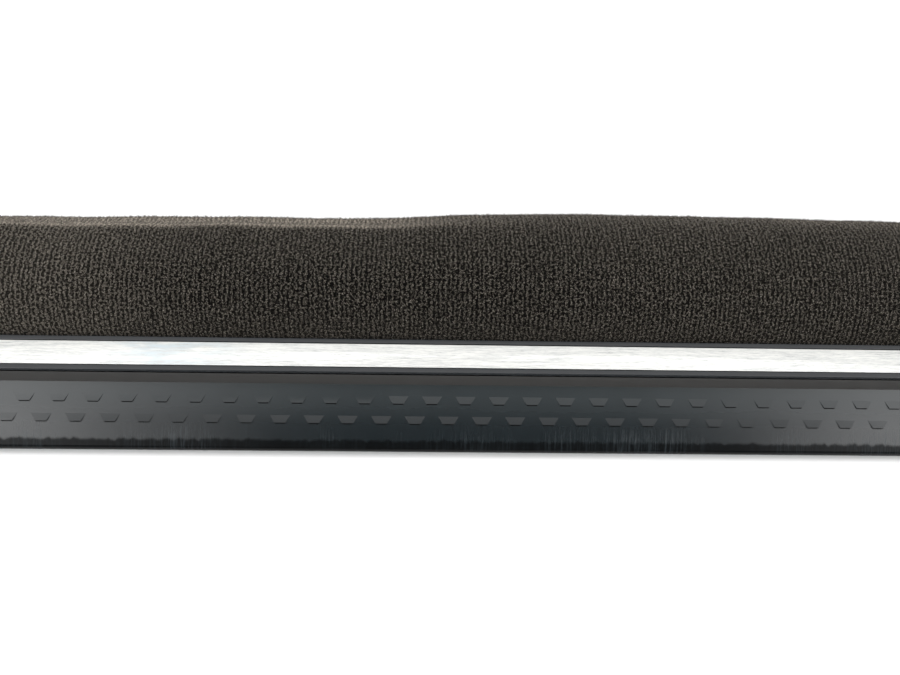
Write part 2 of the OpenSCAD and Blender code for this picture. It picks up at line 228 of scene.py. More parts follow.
def moulded_plastic():
    """Black moulding, glossier toward the front edge and darkened there by painted shade, with fine grain, a
    duller riser, painted shade in the corners, a ragged painted dark reflection along the lip and short
    upright scuffs where the front edge is worn."""
    shader = Shader("moulded_plastic")
    place = shader.position()
    grain = shader.noise(place, scale=2600, detail=2)
    cloud = shader.noise(place, scale=22, detail=4, roughness=0.6)
    _, y, z = shader.separate(place)[:3]
    # painted shade darkens the base toward the front edge; the same mask also makes it glossier
    front_shade_and_polish = shader.ramp(y, FRONT_Y + 0.027, FRONT_Y + 0.004)
    riser = shader.ramp(z, (CREASE_HEIGHT - 0.2) * MM, (CREASE_HEIGHT + 0.2) * MM)
    near_edge = shader.ramp(y, FRONT_Y + 0.012, FRONT_Y + 0.003)
    lines = shader.noise(shader.position(scale=(1500, 60, 60)), detail=4, roughness=0.8)
    worn = shader.ramp(shader.noise(shader.position(scale=(16, 1, 1)), detail=3), 0.36, 0.75)
    marks = shader.math("MULTIPLY", shader.ramp(lines, 0.44, 0.66), shader.math("MULTIPLY", near_edge, worn))
    base = shader.mix(cloud, (0.022, 0.026, 0.028), (0.031, 0.036, 0.038))
    front_shaded = shader.mix(front_shade_and_polish, base, (0.0085, 0.0105, 0.0120))
    dull = shader.mix(riser, front_shaded, (0.047, 0.045, 0.043))
    # painted shade: the cleat walls, the groove under the rail and the lip turn are darkened
    corner_shade = shader.node("ShaderNodeAttribute", attribute_name="painted_shade").outputs["Fac"]
    # painted dark reflection: a ragged dark band along the lip
    ragged = shader.math("MULTIPLY", shader.noise(shader.position(scale=(260, 30, 30)), detail=3), 0.0035)
    lip_reflection_shade = shader.ramp(shader.math("ADD", y, ragged), FRONT_Y + 0.0054, FRONT_Y + 0.0030)
    painted_shade = shader.math("MAXIMUM", corner_shade, shader.math("MULTIPLY", lip_reflection_shade, 0.85))
    shaded = shader.mix(painted_shade, dull, (0.003, 0.003, 0.003))
    shader.set(Base_Color=shader.mix(marks, shaded, (0.026, 0.032, 0.036)))
    uneven = shader.ramp(cloud, 0.3, 0.7, -0.01, 0.01)
    gloss = shader.math("ADD", shader.ramp(front_shade_and_polish, 0.0, 1.0, 0.30, 0.22), uneven)
    shader.set(Roughness=shader.math("ADD", gloss, shader.math("MULTIPLY", marks, 0.2)))
    shader.set(Specular_IOR_Level=shader.ramp(painted_shade, 0.0, 1.0, 0.5, 0.06))
    shader.bump(grain, strength=0.2, distance=0.00005)
    return shader.material


def cap_plastic():
    """The same moulding on the end caps, evenly dull, with cloudy handling marks."""
    shader = Shader("cap_plastic")
    place = shader.position()
    cloud = shader.noise(place, scale=45, detail=4, roughness=0.6)
    shader.set(Base_Color=shader.mix(cloud, (0.017, 0.020, 0.022), (0.028, 0.031, 0.033)))
    shader.set(Roughness=shader.ramp(cloud, 0.3, 0.7, 0.30, 0.40))
    shader.bump(shader.noise(place, scale=2600, detail=2), strength=0.2, distance=0.00005)
    return shader.material


def rail_plastic():
    """Extruded black plastic with faint die lines along the board."""
    shader = Shader("rail_plastic")
    lines = shader.noise(shader.position(scale=(4, 2600, 2600)), detail=3)
    cloud = shader.noise(shader.position(), scale=60, detail=3)
    shader.set(Base_Color=shader.mix(cloud, (0.016, 0.018, 0.02), (0.026, 0.028, 0.031)))
    shader.set(Roughness=shader.ramp(lines, 0.3, 0.7, 0.18, 0.28))
    shader.bump(lines, strength=0.3, distance=0.00003)
    return shader.material


def brushed_aluminium():
    """Bright metal brushed along the board, in longer and shorter streaks, with one cooler painted reflection
    left of the middle."""
    shader = Shader("brushed_aluminium")
    fine = shader.noise(shader.position(scale=(190, 2400, 2400)), detail=4, roughness=0.75)
    broad = shader.noise(shader.position(scale=(45, 1100, 1100)), detail=3, roughness=0.6)
    streak = shader.math("ADD", shader.math("MULTIPLY", fine, 0.6), shader.math("MULTIPLY", broad, 0.4))
    drift = shader.noise(shader.position(scale=(60, 300, 300)), detail=2)
    # painted reflection: a cooler patch on the strip left of the middle
    from_reflection = shader.math("ABSOLUTE", shader.math("ADD", shader.separate(shader.position())[0], 0.155))
    painted_reflection = shader.math("MULTIPLY", shader.ramp(from_reflection, 0.045, 0.01), shader.ramp(drift, 0.3, 0.6))
    tone = shader.mix(painted_reflection, (0.82, 0.82, 0.79), (0.62, 0.69, 0.72))
    shader.set(Base_Color=shader.mix(shader.ramp(streak, 0.36, 0.60), (0.58, 0.59, 0.58), tone))
    shader.set(Metallic=1.0, Roughness=shader.ramp(streak, 0.3, 0.7, 0.26, 0.40))
    shader.set(Anisotropic=0.6)
    shader.bump(streak, strength=0.4, distance=0.00003)
    return shader.material


def zinc_steel():
    """Zinc plate with the faint spangle and dullness of plated sheet."""
    shader = Shader("zinc_steel")
    place = shader.position()
    spangle = shader.cells(place, scale=260)
    cloud = shader.noise(place, scale=70, detail=4)
    tone = shader.math("ADD", shader.math("MULTIPLY", spangle, 0.6), shader.math("MULTIPLY", cloud, 0.5))
    shader.set(Base_Color=shader.mix(shader.ramp(tone, 0.2, 0.8), (0.40, 0.41, 0.42), (0.60, 0.61, 0.62)))
    shader.set(Metallic=1.0, Roughness=shader.ramp(cloud, 0.3, 0.7, 0.32, 0.5))
    shader.bump(shader.noise(place, scale=2400, detail=2), strength=0.2, distance=0.00003)
    return shader.material


def yellow_zinc():
    """Yellow passivated zinc with a slight rainbow drift between gold and pink."""
    shader = Shader("yellow_zinc")
    cloud = shader.noise(shader.position(), scale=160, detail=3)
    shader.set(Base_Color=shader.mix(shader.ramp(cloud, 0.35, 0.65), (0.62, 0.47, 0.20), (0.58, 0.40, 0.30)))
    shader.set(Metallic=1.0, Roughness=shader.ramp(cloud, 0.3, 0.7, 0.25, 0.4))
    shader.bump(shader.noise(shader.position(), scale=2500), strength=0.2, distance=0.00002)
    return shader.material


def rubber():
    """Matt moulded rubber with a fine stipple."""
    shader = Shader("pad_rubber")
    stipple = shader.cells(shader.position(), scale=1600)
    dust = shader.ramp(shader.noise(shader.position(), scale=90, detail=4), 0.5, 0.75)
    shader.set(Base_Color=shader.mix(dust, (0.012, 0.012, 0.013), (0.035, 0.034, 0.032)))
    shader.set(Roughness=shader.ramp(dust, 0.0, 1.0, 0.6, 0.85))
    shader.bump(stipple, strength=0.4, distance=0.00008)
    return shader.material


def foam():
    """Closed cell foam: small round cells with hollows darkened as painted shade."""
    shader = Shader("foam")
    cell = shader.cells(shader.position(), scale=900)
    large = shader.cells(shader.position(), scale=330)
    pore = shader.math("ADD", shader.math("MULTIPLY", cell, 0.6), shader.math("MULTIPLY", large, 0.4))
    # painted shade: the hollows of the cells are darker
    shader.set(Base_Color=shader.mix(shader.ramp(pore, 0.15, 0.6), (0.03, 0.032, 0.035), (0.11, 0.115, 0.12)))
    shader.set(Roughness=0.9)
    shader.bump(pore, strength=0.8, distance=0.0003)
    return shader.material


def backing_felt():
    """Needled felt: short fibres pressed flat."""
    shader = Shader("backing_felt")
    fibre = shader.noise(shader.position(), scale=1500, detail=4, roughness=0.7, distortion=1.5)
    tone = shader.ramp(fibre, 0.35, 0.65)
    shader.set(Base_Color=shader.mix(tone, (0.012, 0.012, 0.011), (0.05, 0.048, 0.045)))
    shader.set(Roughness=0.95)
    shader.bump(fibre, strength=0.7, distance=0.0003)
    return shader.material


def foam_tape():
    """White double-sided foam tape."""
    shader = Shader("tape")
    cell = shader.cells(shader.position(), scale=2400)
    shader.set(Base_Color=shader.mix(cell, (0.74, 0.73, 0.69), (0.82, 0.81, 0.78)))
    shader.set(Roughness=0.6)
    shader.bump(cell, strength=0.3, distance=0.00005)
    return shader.material


def carpet_pile():
    """Ribbed cut pile. The pile attribute holds the position along the board, the distance round the
    wrap and how far the pile lies open, shown lighter as painted sheen. Painted shade darkens the gaps that
    run down between the ribs, broken up by tufts, and squiggles of light yarn with painted glints lie on top."""
    shader = Shader("carpet_pile")
    place = shader.attribute("pile", scale=(1, 1, 0))
    # third component: open pile, shown lighter by painted sheen along the crest
    sheen_and_opened = shader.separate(shader.attribute("pile"))[2]
    sideways = shader.math("SUBTRACT", shader.noise(place, scale=260, detail=2), 0.5)
    wobble = shader.math("MULTIPLY", sideways, 1.5)
    x, run, _ = shader.separate(place)[:3]
    across = shader.math("ADD", shader.math("DIVIDE", x, RIB_PITCH * MM), wobble)
    wave = shader.math("ABSOLUTE", shader.math("SUBTRACT", shader.math("FRACT", across), 0.5))
    tuft_x, tuft_run = shader.math("MULTIPLY", x, 880.0), shader.math("MULTIPLY", run, 760.0)
    tuft = shader.noise(shader.combine(tuft_x, tuft_run, 0.0), detail=2)
    # painted shade: the gaps between ribs and tufts are darkened
    gap_shade = shader.ramp(shader.math("ADD", shader.math("MULTIPLY", wave, 0.42), tuft), 0.52, 0.66)
    yarn = shader.noise(place, scale=1550, detail=3, roughness=0.7, distortion=0.9)
    squiggle = shader.ramp(shader.math("ABSOLUTE", shader.math("SUBTRACT", yarn, 0.5)), 0.0, 0.06, 1.0, 0.0)
    # painted highlights: glints of lighter colour on the yarn
    glint = shader.ramp(shader.noise(place, scale=1900, detail=1), 0.44, 0.64)
    shade = shader.noise(place, scale=22, detail=3, roughness=0.55)
    dark = shader.mix(shade, (0.0030, 0.0026, 0.0021), (0.0060, 0.0053, 0.0043))
    light = shader.mix(shade, (0.054, 0.047, 0.037), (0.105, 0.092, 0.073))
    yarns = shader.mix(squiggle, dark, shader.mix(glint, light, (0.58, 0.52, 0.44)))
    # painted sheen: lighter yarn and shallower painted gap shade where the pile lies open
    sheen_and_lying = shader.mix(sheen_and_opened, yarns, (0.54, 0.475, 0.395))
    depth = shader.math("SUBTRACT", 1.0, shader.math("MULTIPLY", sheen_and_opened, 0.5))
    shader.set(Base_Color=shader.mix(shader.math("MULTIPLY", gap_shade, depth), sheen_and_lying, (0.001, 0.0009, 0.0008)))
    shader.set(Roughness=0.95, Specular_IOR_Level=0.06)
    shader.set(Sheen_Weight=0.10, Sheen_Roughness=0.3, Sheen_Tint=(0.9, 0.8, 0.68))
    height = shader.math("SUBTRACT", shader.math("MULTIPLY", squiggle, 0.4), gap_shade)
    shader.bump(height, strength=0.8, distance=0.0006)
    return shader.material


def carpet_fibre():
    """Loose fibres that stand out of the pile."""
    shader = Shader("carpet_fibre")
    tone = shader.ramp(shader.noise(shader.position(), scale=700, detail=1), 0.35, 0.65)
    shader.set(Base_Color=shader.mix(tone, (0.02, 0.018, 0.016), (0.17, 0.152, 0.13)))
    shader.set(Roughness=0.75)
    return shader.material


def binding_yarn():
    """Twisted overlock yarn."""
    shader = Shader("binding_yarn")
    twist = shader.noise(shader.position(), scale=2600, detail=3, distortion=1.0)
    tone = shader.ramp(twist, 0.35, 0.65)
    shader.set(Base_Color=shader.mix(tone, (0.008, 0.008, 0.008), (0.04, 0.038, 0.035)))
    shader.set(Roughness=0.8)
    shader.set(Sheen_Weight=0.3)
    shader.bump(twist, strength=0.5, distance=0.0001)
    return shader.material


def binding_tape():
    """Woven tape: a twill of fine ribs."""
    shader = Shader("binding_tape")
    place = shader.position()
    warp = shader.node("ShaderNodeTexWave", wave_type="BANDS", bands_direction="DIAGONAL")
    shader.put(place, warp.inputs["Vector"])
    warp.inputs["Scale"].default_value = 330
    warp.inputs["Distortion"].default_value = 0.6
    fuzz = shader.noise(place, scale=2600, detail=3)
    weave = shader.math("ADD", warp.outputs["Fac"], shader.math("MULTIPLY", fuzz, 0.4))
    tone = shader.ramp(weave, 0.2, 1.2)
    shader.set(Base_Color=shader.mix(tone, (0.006, 0.006, 0.006), (0.035, 0.033, 0.031)))
    shader.set(Roughness=0.85)
    shader.set(Sheen_Weight=0.2)
    shader.bump(weave, strength=0.5, distance=0.0001)
    return shader.material


# ---- meshes ----


def add_mesh(name, vertices, faces, material, smooth=True):
    """A new object from plain vertices and faces, with its normals pointing out."""
    mesh = bpy.data.meshes.new(name)
    mesh.from_pydata([tuple(v) for v in vertices], [], [tuple(f) for f in faces])
    mesh.validate()
    shape = bmesh.new()
    shape.from_mesh(mesh)
    bmesh.ops.recalc_face_normals(shape, faces=shape.faces)
    shape.to_mesh(mesh)
    shape.free()
    mesh.materials.append(material)
    mesh.shade_smooth() if smooth else mesh.shade_flat()
    made = bpy.data.objects.new(name, mesh)
    bpy.context.scene.collection.objects.link(made)
    return made


def apply_modifiers(piece):
    """Turns a piece's modifiers into plain geometry."""
    bpy.context.view_layer.update()
    evaluated = piece.evaluated_get(bpy.context.evaluated_depsgraph_get())
    mesh = bpy.data.meshes.new_from_object(evaluated)
    piece.modifiers.clear()
    old = piece.data
    piece.data = mesh
    bpy.data.meshes.remove(old)
    return piece


def softened(node, name, material, slot, width, segments=2, weld=0.002, crease=40, reshape=None):
    """A copy of a CAD node with its outer edges rounded. It stands for the node. Sizes in millimetres."""
    shape = bmesh.new()
    shape.from_mesh(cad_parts[node].data)
    bmesh.ops.remove_doubles(shape, verts=shape.verts, dist=weld * MM)
    bmesh.ops.dissolve_limit(shape, angle_limit=math.radians(0.5), verts=shape.verts, edges=shape.edges)
    for face in shape.faces:
        face.smooth = True
    if reshape:
        reshape(shape)
    rounded = [
        edge for edge in shape.edges
        if edge.calc_face_angle_signed(0) > math.radians(28) and edge.calc_length() > 2.5 * width * MM
    ]
    bmesh.ops.bevel(
        shape, geom=rounded, offset=width * MM, offset_type="OFFSET", segments=segments, profile=0.5,
        affect="EDGES", clamp_overlap=False,
    )
    mesh = bpy.data.meshes.new(name)
    shape.to_mesh(mesh)
    shape.free()
    mesh.set_sharp_from_angle(angle=math.radians(crease))
    mesh.materials.clear()
    mesh.materials.append(material)
    piece = bpy.data.objects.new(name, mesh)
    bpy.context.scene.collection.objects.link(piece)
    weighted = piece.modifiers.new("flat faces stay flat", "WEIGHTED_NORMAL")
    weighted.weight = 100
    weighted.keep_sharp = True
    apply_modifiers(piece)
    return attach(piece, slot, node)


def mark_painted_shade(shape):
    """Marks the small walls of the cleats, the groove under the rail and the turn of the lip, where the
    plastic's colour is darkened as painted shade."""
    painted_shade = shape.faces.layers.float.new("painted_shade")
    for face in shape.faces:
        centre = face.calc_center_median()
        depth, height = (centre.y - FRONT_Y) / MM, centre.z / MM
        in_corner = any(edge.calc_face_angle_signed(0) < -math.radians(20) for edge in face.edges)
        on_cleat = face.calc_area() < 7 * MM * MM and in_corner and 0 < depth < TREAD_DEPTH
        in_groove = GROOVE_HEIGHT - 0.01 < height < DECK_HEIGHT - 0.05 and depth < 31 and height > 30
        on_lip = height < NOSE_HEIGHT + 0.2 and depth < -0.2 and 0.3 < face.normal.z < 0.84
        face[painted_shade] = 1.0 if on_cleat or in_groove else 0.8 if on_lip else 0.0


def attach(piece, slot, *nodes):
    """Fixes a piece to the board and hides the nodes it stands for; the slot is not used."""
    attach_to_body(piece, "root")
    if nodes:
        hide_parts(*nodes)
    return piece


# ---- carpet ----


def fold_height(x, turn):
    """How far the carpet stands out from the plain arch, in millimetres. x runs along the board and
    turn is the angle round the arch in degrees, 180 at the front and 0 at the back. It stays above
    LOWEST_FOLD and fades out at both ends of the board."""
    def hump(value, centre, width):
        return np.exp(-(((value - centre) / width) ** 2))

    left = 1 / (1 + np.exp((x + 8) / 22))
    ridge = 1.3 * hump(turn, 66, 11) - 1.7 * hump(turn, 49, 7) + 0.9 * hump(turn, 33, 10)
    swell = 3.6 * hump(x, 60, 75) * hump(turn, 45, 40) + 2.6 * hump(x, 210, 120) * hump(turn, 45, 45)
    far_left = 1.7 / (1 + np.exp((x + 205) / 12))
    swell += ((1 - left) * 1.1 + 0.5 * hump(x, 135, 30) - 0.8 * left - far_left) * hump(turn, 40, 40)
    sway = 0.8 * np.sin(x / 61 + 1.3) * hump(turn, 120, 50) + 0.5 * np.sin(x / 23 + 0.4) * hump(turn, 60, 35)
    dents = 0.35 * np.sin(x / 9.3 + turn / 21) * hump(turn, 90, 60)
    dip = 0.9 * hump(x, -20, 28) * hump(turn, 45, 40) - 0.6 * hump(x, 50, 22) * hump(turn, 45, 40)
    ends = np.clip((WRAP_HALF - 3 - np.abs(x)) / 20, 0, 1)
    out = left * ridge + swell + sway + dents + dip - 0.4
    return (np.logaddexp(0, 2 * (out - LOWEST_FOLD)) / 2 + LOWEST_FOLD) * ends


def wrap_path(rows):
    """Points and outward normals round the wrap from the front foot to the rear foot, with the turn
    angle of each, evenly spaced by rows along the path."""
    turns = np.linspace(180, 0, 361)
    arch = np.stack(
        [
            ARCH_DEPTH + ARCH_HALF_DEPTH * np.cos(np.radians(turns)),
            ARCH_HEIGHT + ARCH_RISE * np.sin(np.radians(turns)),
        ],
        axis=1,
    )
    front = np.array([[WRAP_FRONT, FRONT_FOOT]])
    back = np.array([[WRAP_BACK - HEM_PINCH, HEM_TOP], [WRAP_BACK - HEM_PINCH, REAR_FOOT]])
    points = np.concatenate([front, arch, back])
    angles = np.concatenate([[200.0], turns, [-20.0, -30.0]])
    run = np.concatenate([[0], np.cumsum(np.linalg.norm(np.diff(points, axis=0), axis=1))])
    even = np.linspace(0, run[-1], rows)
    path = np.stack([np.interp(even, run, points[:, i]) for i in range(2)], axis=1)
    turn = np.interp(even, run, angles)
    tangent = np.gradient(path, axis=0)
    tangent /= np.linalg.norm(tangent, axis=1)[:, None]
    normal = np.stack([-tangent[:, 1], tangent[:, 0]], axis=1)
    return path, normal, turn, even


def slack(run, whole):
    """How free the wrap is to leave the arch: 0 where the rail and the hem hold it, 1 in between. Both
    are distances round the wrap in millimetres."""
    return np.clip((run - 22) / 12, 0, 1) * np.clip((whole - 16 - run) / 14, 0, 1)


def build_carpet(material):
    """The wrap as one closed sheet: a fine ribbed face and a plain underside."""
    columns_per_rib = 2
    step = RIB_PITCH / columns_per_rib
    coarse_x, coarse_run = 16, 4
    columns = int(round(2 * WRAP_HALF / step / coarse_x)) * coarse_x + 1
    rows = 25 * coarse_run + 1
    path, normal, turn, run = wrap_path(rows)
    x = np.linspace(-WRAP_HALF, WRAP_HALF, columns)
    grid_x, grid_turn = np.meshgrid(x, turn)
    out = fold_height(grid_x, grid_turn)
    hold = slack(run, run[-1])[:, None]
    rib = np.where(np.arange(columns) % 2 == 0, 1.0, -1.0)[None, :]
    tuft = RANDOM.normal(0, 1, (rows, columns))
    pile = (0.17 * rib + 0.10 * tuft) * np.clip(hold + 0.25, 0, 1)
    height = out * hold + pile - 0.1
    face_y = path[:, 0][:, None] + normal[:, 0][:, None] * height
    face_z = path[:, 1][:, None] + normal[:, 1][:, None] * height
    face = np.stack([grid_x * MM, FRONT_Y + face_y * MM, face_z * MM], axis=-1).reshape(-1, 3)

    under_rows = np.arange(0, rows, coarse_run)
    under_columns = np.arange(0, columns, coarse_x)
    under_path = inner_path(rows)[under_rows]
    under = np.array(
        [
            (x[c] * MM, FRONT_Y + under_path[r][0] * MM, under_path[r][1] * MM)
            for r in range(len(under_rows))
            for c in under_columns
        ]
    )
    faces = []
    for r in range(rows - 1):
        for c in range(columns - 1):
            a = r * columns + c
            faces.append((a, a + 1, a + columns + 1, a + columns))
    base = rows * columns
    width = len(under_columns)
    for r in range(len(under_rows) - 1):
        for c in range(width - 1):
            a = base + r * width + c
            faces.append((a, a + width, a + width + 1, a + 1))
    for c in range(width - 1):
        fine = list(range(under_columns[c], under_columns[c + 1] + 1))
        faces.append(fine[::-1] + [base + c, base + c + 1])
        last = (rows - 1) * columns
        tail = base + (len(under_rows) - 1) * width
        faces.append([last + f for f in fine] + [tail + c + 1, tail + c])
    for r in range(len(under_rows) - 1):
        fine = list(range(under_rows[r], under_rows[r + 1] + 1))
        a, b = base + r * width, base + (r + 1) * width
        faces.append([f * columns for f in fine] + [b, a])
        faces.append([f * columns + columns - 1 for f in fine[::-1]] + [a + width - 1, b + width - 1])
    piece = add_mesh("carpet_wrap", np.concatenate([face, under]), faces, material)
    under_x, under_run = np.meshgrid(x[under_columns], run[under_rows])
    store_pile(
        piece,
        np.concatenate([grid_x.reshape(-1), under_x.reshape(-1)]),
        np.concatenate([np.repeat(run, columns), under_run.reshape(-1)]),
        np.concatenate([sheen_and_open_pile(grid_x, grid_turn).reshape(-1), np.zeros(under_x.size)]),
    )
    attach(piece, "carpet_pile", "carpet")


def inner_path(rows):
    """The underside of the carpet, row by row with wrap_path."""
    path, normal, _, _ = wrap_path(rows)
    inside = path - normal * CARPET_THICKNESS
    inside[:, 0] = np.clip(inside[:, 0], WRAP_FRONT + CARPET_THICKNESS, WRAP_BACK - CARPET_THICKNESS)
    return inside


def add_fibres(name, roots, normals, material):
    """One piece made of many loose tapered fibres, each with three sides."""
    count = len(roots)
    tilt = RANDOM.normal(0, FIBRE_LEAN, (count, 3))
    heading = normals + tilt
    heading /= np.linalg.norm(heading, axis=1)[:, None]
    reach = RANDOM.uniform(*FIBRE_LENGTH, count)[:, None] * MM
    side = np.cross(heading, RANDOM.normal(0, 1, (count, 3)))
    side /= np.linalg.norm(side, axis=1)[:, None]
    other = np.cross(heading, side)
    vertices = np.empty((count, 4, 3))
    for i in range(3):
        turn = math.tau * i / 3
        vertices[:, i] = roots + (side * math.cos(turn) + other * math.sin(turn)) * FIBRE_RADIUS * MM
    vertices[:, 3] = roots + heading * reach
    first = np.arange(count)[:, None] * 4
    faces = np.concatenate([first + np.array([[i, (i + 1) % 3, 3]]) for i in range(3)])
    faces = np.concatenate([faces, first + np.array([[2, 1, 0]])])
    mesh = bpy.data.meshes.new(name)
    mesh.vertices.add(count * 4)
    mesh.vertices.foreach_set("co", vertices.astype(np.float32).reshape(-1))
    mesh.loops.add(faces.size)
    mesh.loops.foreach_set("vertex_index", faces.reshape(-1))
    mesh.polygons.add(len(faces))
    mesh.polygons.foreach_set("loop_start", np.arange(len(faces)) * 3)
    mesh.update(calc_edges=True)
    mesh.materials.append(material)
    piece = bpy.data.objects.new(name, mesh)
    bpy.context.scene.collection.objects.link(piece)
    return attach(piece, "carpet_pile")


def build_wrap_fibres(material):
    """Loose fibres over the wrap, thickest along the crest."""
    path, normal, turn, run = wrap_path(400)
    share = 0.25 + np.exp(-(((turn - 45) / 30) ** 2)) * (run > 10)
    share[turn < -5] = 0.05
    row = RANDOM.choice(len(run), WRAP_FIBRES, p=share / share.sum())
    x = RANDOM.uniform(-WRAP_HALF + 3, WRAP_HALF - 3, WRAP_FIBRES)
    hold = slack(run[row], run[-1])
    height = fold_height(x, turn[row]) * hold - 0.25
    depth = path[row, 0] + normal[row, 0] * height
    z = path[row, 1] + normal[row, 1] * height
    roots = np.stack([x * MM, FRONT_Y + depth * MM, z * MM], axis=1)
    normals = np.stack([np.zeros(WRAP_FIBRES), normal[row, 0], normal[row, 1]], axis=1)
    add_fibres("wrap_fibres", roots, normals, material)


def end_outline(count):
    """Closed outline of an end panel as depths and heights, evenly spaced, from the front foot up."""
    turns = np.radians(np.linspace(180, 0, 91))
    arch_depth = ARCH_DEPTH + ARCH_HALF_DEPTH * np.cos(turns)
    arch_height = ARCH_HEIGHT + ARCH_RISE * np.sin(turns)
    rear = WRAP_BACK - HEM_PINCH
    depth = np.concatenate([[WRAP_FRONT + 0.05], arch_depth, [rear, rear, WRAP_FRONT + 0.05]])
    height = np.concatenate([[END_FOOT], arch_height, [HEM_TOP, END_FOOT, END_FOOT]])
    run = np.concatenate([[0], np.cumsum(np.hypot(np.diff(depth), np.diff(height)))])
    even = np.linspace(0, run[-1], count, endpoint=False)
    return np.stack([np.interp(even, run, depth), np.interp(even, run, height)], axis=1)


def build_end(side, name, node, material, fibre):
    """Carpet panel on one end: a plain underside, a rolled rim and a slightly crowned face of pile."""
    count, face_rings, rim = 220, 28, 5
    loop = end_outline(count)
    centre = np.array([ARCH_DEPTH, END_CENTRE])
    profile = [(0.5, 0.0), (1.0, 0.0), (1.0, 2.6), (0.992, 3.5), (0.975, 3.9)]
    crown = 0.3
    profile += [(s, END_THICKNESS + crown * (1 - s**2)) for s in np.linspace(0.95, 0.04, face_rings)]
    vertices, faces, depths, heights = [], [], [], []
    for level, (share, out) in enumerate(profile):
        ring = centre + (loop - centre) * share
        tufts = RANDOM.normal(0, 0.12 if level >= rim else 0.0, count)
        for (depth, height), tuft in zip(ring, tufts, strict=True):
            vertices.append((side * (WRAP_HALF + out + tuft) * MM, FRONT_Y + depth * MM, height * MM))
            depths.append(depth)
            heights.append(height)
    for level in range(len(profile) - 1):
        for i in range(count):
            a, b = level * count + i, level * count + (i + 1) % count
            faces.append((a, b, b + count, a + count))
    for first, out in ((0, 0.0), ((len(profile) - 1) * count, END_THICKNESS + crown)):
        hub = len(vertices)
        vertices.append((side * (WRAP_HALF + out) * MM, FRONT_Y + centre[0] * MM, centre[1] * MM))
        depths.append(centre[0])
        heights.append(centre[1])
        faces += [(first + i, first + (i + 1) % count, hub) for i in range(count)]
    piece = add_mesh(name, vertices, faces, material)
    store_pile(piece, np.array(depths), np.array(heights), np.zeros(len(vertices)))
    attach(piece, "carpet_pile", node)
    reach = np.sqrt(RANDOM.uniform(0, 0.9, END_FIBRES))[:, None]
    spots = centre + (loop[RANDOM.integers(0, count, END_FIBRES)] - centre) * reach
    x = np.full(END_FIBRES, side * (WRAP_HALF + END_THICKNESS))
    roots = np.stack([x * MM, FRONT_Y + spots[:, 0] * MM, spots[:, 1] * MM], axis=1)
    add_fibres(name + "_fibres", roots, np.tile([float(side), 0.0, 0.0], (END_FIBRES, 1)), fibre)


# ---- seams ----


def add_cords(name, routes, across, radius, material, slot):
    """One piece of many short yarns. Each route is a list of points, and across is a direction that no
    part of that route runs along. The yarns thin out to half at their ends. Sizes in metres."""
    sides = 6
    vertices, faces = [], []
    for route, reference in zip(routes, across, strict=True):
        points = np.asarray(route)
        tangent = np.gradient(points, axis=0)
        tangent /= np.linalg.norm(tangent, axis=1)[:, None]
        side = np.cross(tangent, reference)
        side /= np.linalg.norm(side, axis=1)[:, None]
        other = np.cross(tangent, side)
        swell = radius * (0.5 + 0.5 * np.sin(np.linspace(0, math.pi, len(points))) ** 0.4)
        base = len(vertices)
        for point, a, b, r in zip(points, side, other, swell, strict=True):
            for i in range(sides):
                turn = math.tau * i / sides
                vertices.append(point + (a * math.cos(turn) + b * math.sin(turn)) * r)
        for ring in range(len(points) - 1):
            for i in range(sides):
                a, b = base + ring * sides + i, base + ring * sides + (i + 1) % sides
                faces.append((a, b, b + sides, a + sides))
        last = base + (len(points) - 1) * sides
        faces.append(tuple(range(base, base + sides)))
        faces.append(tuple(range(last, last + sides)))
    return attach(add_mesh(name, vertices, faces, material), slot)


def seam_path(count):
    """Points and outward normals of the corner between the wrap and an end panel, evenly spaced from the
    rail over the crest to the back."""
    start = 180 - math.degrees(math.asin((RAIL_TOP + 0.9 - ARCH_HEIGHT) / ARCH_RISE))
    turns = np.radians(np.linspace(start, 0, 181))
    depth = np.append(ARCH_DEPTH + ARCH_HALF_DEPTH * np.cos(turns), WRAP_BACK - 1.6)
    height = np.append(ARCH_HEIGHT + ARCH_RISE * np.sin(turns), SEAM_LOW + 0.6)
    run = np.concatenate([[0], np.cumsum(np.hypot(np.diff(depth), np.diff(height)))])
    even = np.linspace(0.6, run[-1], count)
    path = np.stack([np.interp(even, run, depth), np.interp(even, run, height)], axis=1)
    tangent = np.gradient(path, axis=0)
    tangent /= np.linalg.norm(tangent, axis=1)[:, None]
    return path, np.stack([-tangent[:, 1], tangent[:, 0]], axis=1), tangent


